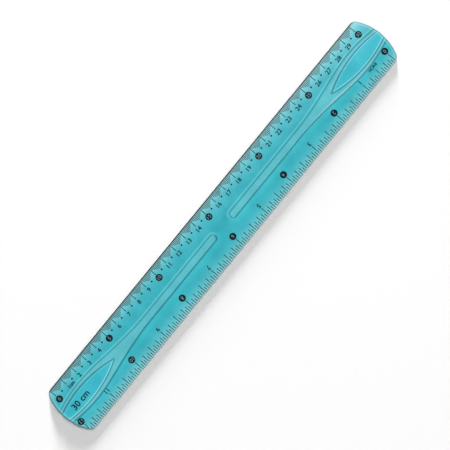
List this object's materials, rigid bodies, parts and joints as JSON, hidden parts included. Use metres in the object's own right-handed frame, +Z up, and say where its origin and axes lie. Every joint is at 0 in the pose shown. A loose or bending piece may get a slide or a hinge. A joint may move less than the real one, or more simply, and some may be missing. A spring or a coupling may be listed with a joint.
{
  "type": "flexible folding ruler",
  "caption": "Soft see-through ruler with a centimetre edge and an inch edge, sunk channels and rounded ends, that folds over by bending along its length",
  "frame": {"origin": "under the middle of the ruler, on its flat underside", "axes": "+X along the ruler to its 30 cm end, +Y across it to the centimetre edge, +Z up out of the printed side"},
  "size_m": [0.3164, 0.0374, 0.0025],
  "materials": {
    "soft_plastic": "soft flexible teal plastic, slightly see-through, smooth with a soft gloss",
    "ink": "black print"
  },
  "bodies": {
    "length_01": {"moulding_01": "soft_plastic", "centimetre_print_01": "ink", "inch_print_01": "ink", "size_mark": "ink"},
    "length_02": {"moulding_02": "soft_plastic", "centimetre_print_02": "ink", "inch_print_02": "ink"},
    "length_03": {"moulding_03": "soft_plastic", "centimetre_print_03": "ink", "inch_print_03": "ink"},
    "length_04": {"moulding_04": "soft_plastic", "centimetre_print_04": "ink", "inch_print_04": "ink"},
    "length_05": {"moulding_05": "soft_plastic", "centimetre_print_05": "ink", "inch_print_05": "ink"},
    "length_06": {"moulding_06": "soft_plastic", "centimetre_print_06": "ink", "inch_print_06": "ink"},
    "length_07": {"moulding_07": "soft_plastic", "centimetre_print_07": "ink", "inch_print_07": "ink"},
    "length_08": {"moulding_08": "soft_plastic", "centimetre_print_08": "ink", "inch_print_08": "ink"},
    "length_09": {"moulding_09": "soft_plastic", "centimetre_print_09": "ink", "inch_print_09": "ink"},
    "length_10": {"moulding_10": "soft_plastic", "centimetre_print_10": "ink", "inch_print_10": "ink"},
    "length_11": {"moulding_11": "soft_plastic", "centimetre_print_11": "ink", "inch_print_11": "ink"},
    "length_12": {"moulding_12": "soft_plastic", "centimetre_print_12": "ink", "inch_print_12": "ink"},
    "length_13": {"moulding_13": "soft_plastic", "centimetre_print_13": "ink", "inch_print_13": "ink"},
    "length_14": {"moulding_14": "soft_plastic", "centimetre_print_14": "ink", "inch_print_14": "ink"},
    "length_15": {"moulding_15": "soft_plastic", "centimetre_print_15": "ink", "inch_print_15": "ink"},
    "length_16": {"moulding_16": "soft_plastic", "centimetre_print_16": "ink", "inch_print_16": "ink"},
    "length_17": {"moulding_17": "soft_plastic", "centimetre_print_17": "ink", "inch_print_17": "ink"},
    "length_18": {"moulding_18": "soft_plastic", "centimetre_print_18": "ink", "inch_print_18": "ink"},
    "length_19": {"moulding_19": "soft_plastic", "centimetre_print_19": "ink", "inch_print_19": "ink"}
  },
  "joints": [
    {"name": "bend_01", "type": "hinge", "parent": "length_02", "child": "length_01", "pos_m": [-0.1339, 0, 0.001], "axis": [0, 1, 0], "range_deg": [-10, 10], "stiffness_Nm_per_rad": 0.02},
    {"name": "bend_02", "type": "hinge", "parent": "length_03", "child": "length_02", "pos_m": [-0.1179, 0, 0.001], "axis": [0, 1, 0], "range_deg": [-10, 10], "stiffness_Nm_per_rad": 0.02},
    {"name": "bend_03", "type": "hinge", "parent": "length_04", "child": "length_03", "pos_m": [-0.0989, 0, 0.001], "axis": [0, 1, 0], "range_deg": [-10, 10], "stiffness_Nm_per_rad": 0.02},
    {"name": "bend_04", "type": "hinge", "parent": "length_05", "child": "length_04", "pos_m": [-0.0829, 0, 0.001], "axis": [0, 1, 0], "range_deg": [-10, 10], "stiffness_Nm_per_rad": 0.02},
    {"name": "bend_05", "type": "hinge", "parent": "length_06", "child": "length_05", "pos_m": [-0.0689, 0, 0.001], "axis": [0, 1, 0], "range_deg": [-10, 10], "stiffness_Nm_per_rad": 0.02},
    {"name": "bend_06", "type": "hinge", "parent": "length_07", "child": "length_06", "pos_m": [-0.0549, 0, 0.001], "axis": [0, 1, 0], "range_deg": [-10, 10], "stiffness_Nm_per_rad": 0.02},
    {"name": "bend_07", "type": "hinge", "parent": "length_08", "child": "length_07", "pos_m": [-0.0389, 0, 0.001], "axis": [0, 1, 0], "range_deg": [-10, 10], "stiffness_Nm_per_rad": 0.02},
    {"name": "bend_08", "type": "hinge", "parent": "length_09", "child": "length_08", "pos_m": [-0.0279, 0, 0.001], "axis": [0, 1, 0], "range_deg": [-10, 10], "stiffness_Nm_per_rad": 0.02},
    {"name": "bend_09", "type": "hinge", "parent": "length_10", "child": "length_09", "pos_m": [-0.0089, 0, 0.001], "axis": [0, 1, 0], "range_deg": [-10, 10], "stiffness_Nm_per_rad": 0.02},
    {"name": "bend_10", "type": "hinge", "parent": "length_10", "child": "length_11", "pos_m": [0.0061, 0, 0.001], "axis": [0, -1, 0], "range_deg": [-10, 10], "stiffness_Nm_per_rad": 0.02},
    {"name": "bend_11", "type": "hinge", "parent": "length_11", "child": "length_12", "pos_m": [0.0251, 0, 0.001], "axis": [0, -1, 0], "range_deg": [-10, 10], "stiffness_Nm_per_rad": 0.02},
    {"name": "bend_12", "type": "hinge", "parent": "length_12", "child": "length_13", "pos_m": [0.0361, 0, 0.001], "axis": [0, -1, 0], "range_deg": [-10, 10], "stiffness_Nm_per_rad": 0.02},
    {"name": "bend_13", "type": "hinge", "parent": "length_13", "child": "length_14", "pos_m": [0.0521, 0, 0.001], "axis": [0, -1, 0], "range_deg": [-10, 10], "stiffness_Nm_per_rad": 0.02},
    {"name": "bend_14", "type": "hinge", "parent": "length_14", "child": "length_15", "pos_m": [0.0661, 0, 0.001], "axis": [0, -1, 0], "range_deg": [-10, 10], "stiffness_Nm_per_rad": 0.02},
    {"name": "bend_15", "type": "hinge", "parent": "length_15", "child": "length_16", "pos_m": [0.0821, 0, 0.001], "axis": [0, -1, 0], "range_deg": [-10, 10], "stiffness_Nm_per_rad": 0.02},
    {"name": "bend_16", "type": "hinge", "parent": "length_16", "child": "length_17", "pos_m": [0.0961, 0, 0.001], "axis": [0, -1, 0], "range_deg": [-10, 10], "stiffness_Nm_per_rad": 0.02},
    {"name": "bend_17", "type": "hinge", "parent": "length_17", "child": "length_18", "pos_m": [0.1151, 0, 0.001], "axis": [0, -1, 0], "range_deg": [-10, 10], "stiffness_Nm_per_rad": 0.02},
    {"name": "bend_18", "type": "hinge", "parent": "length_18", "child": "length_19", "pos_m": [0.1311, 0, 0.001], "axis": [0, -1, 0], "range_deg": [-10, 10], "stiffness_Nm_per_rad": 0.02}
  ]
}
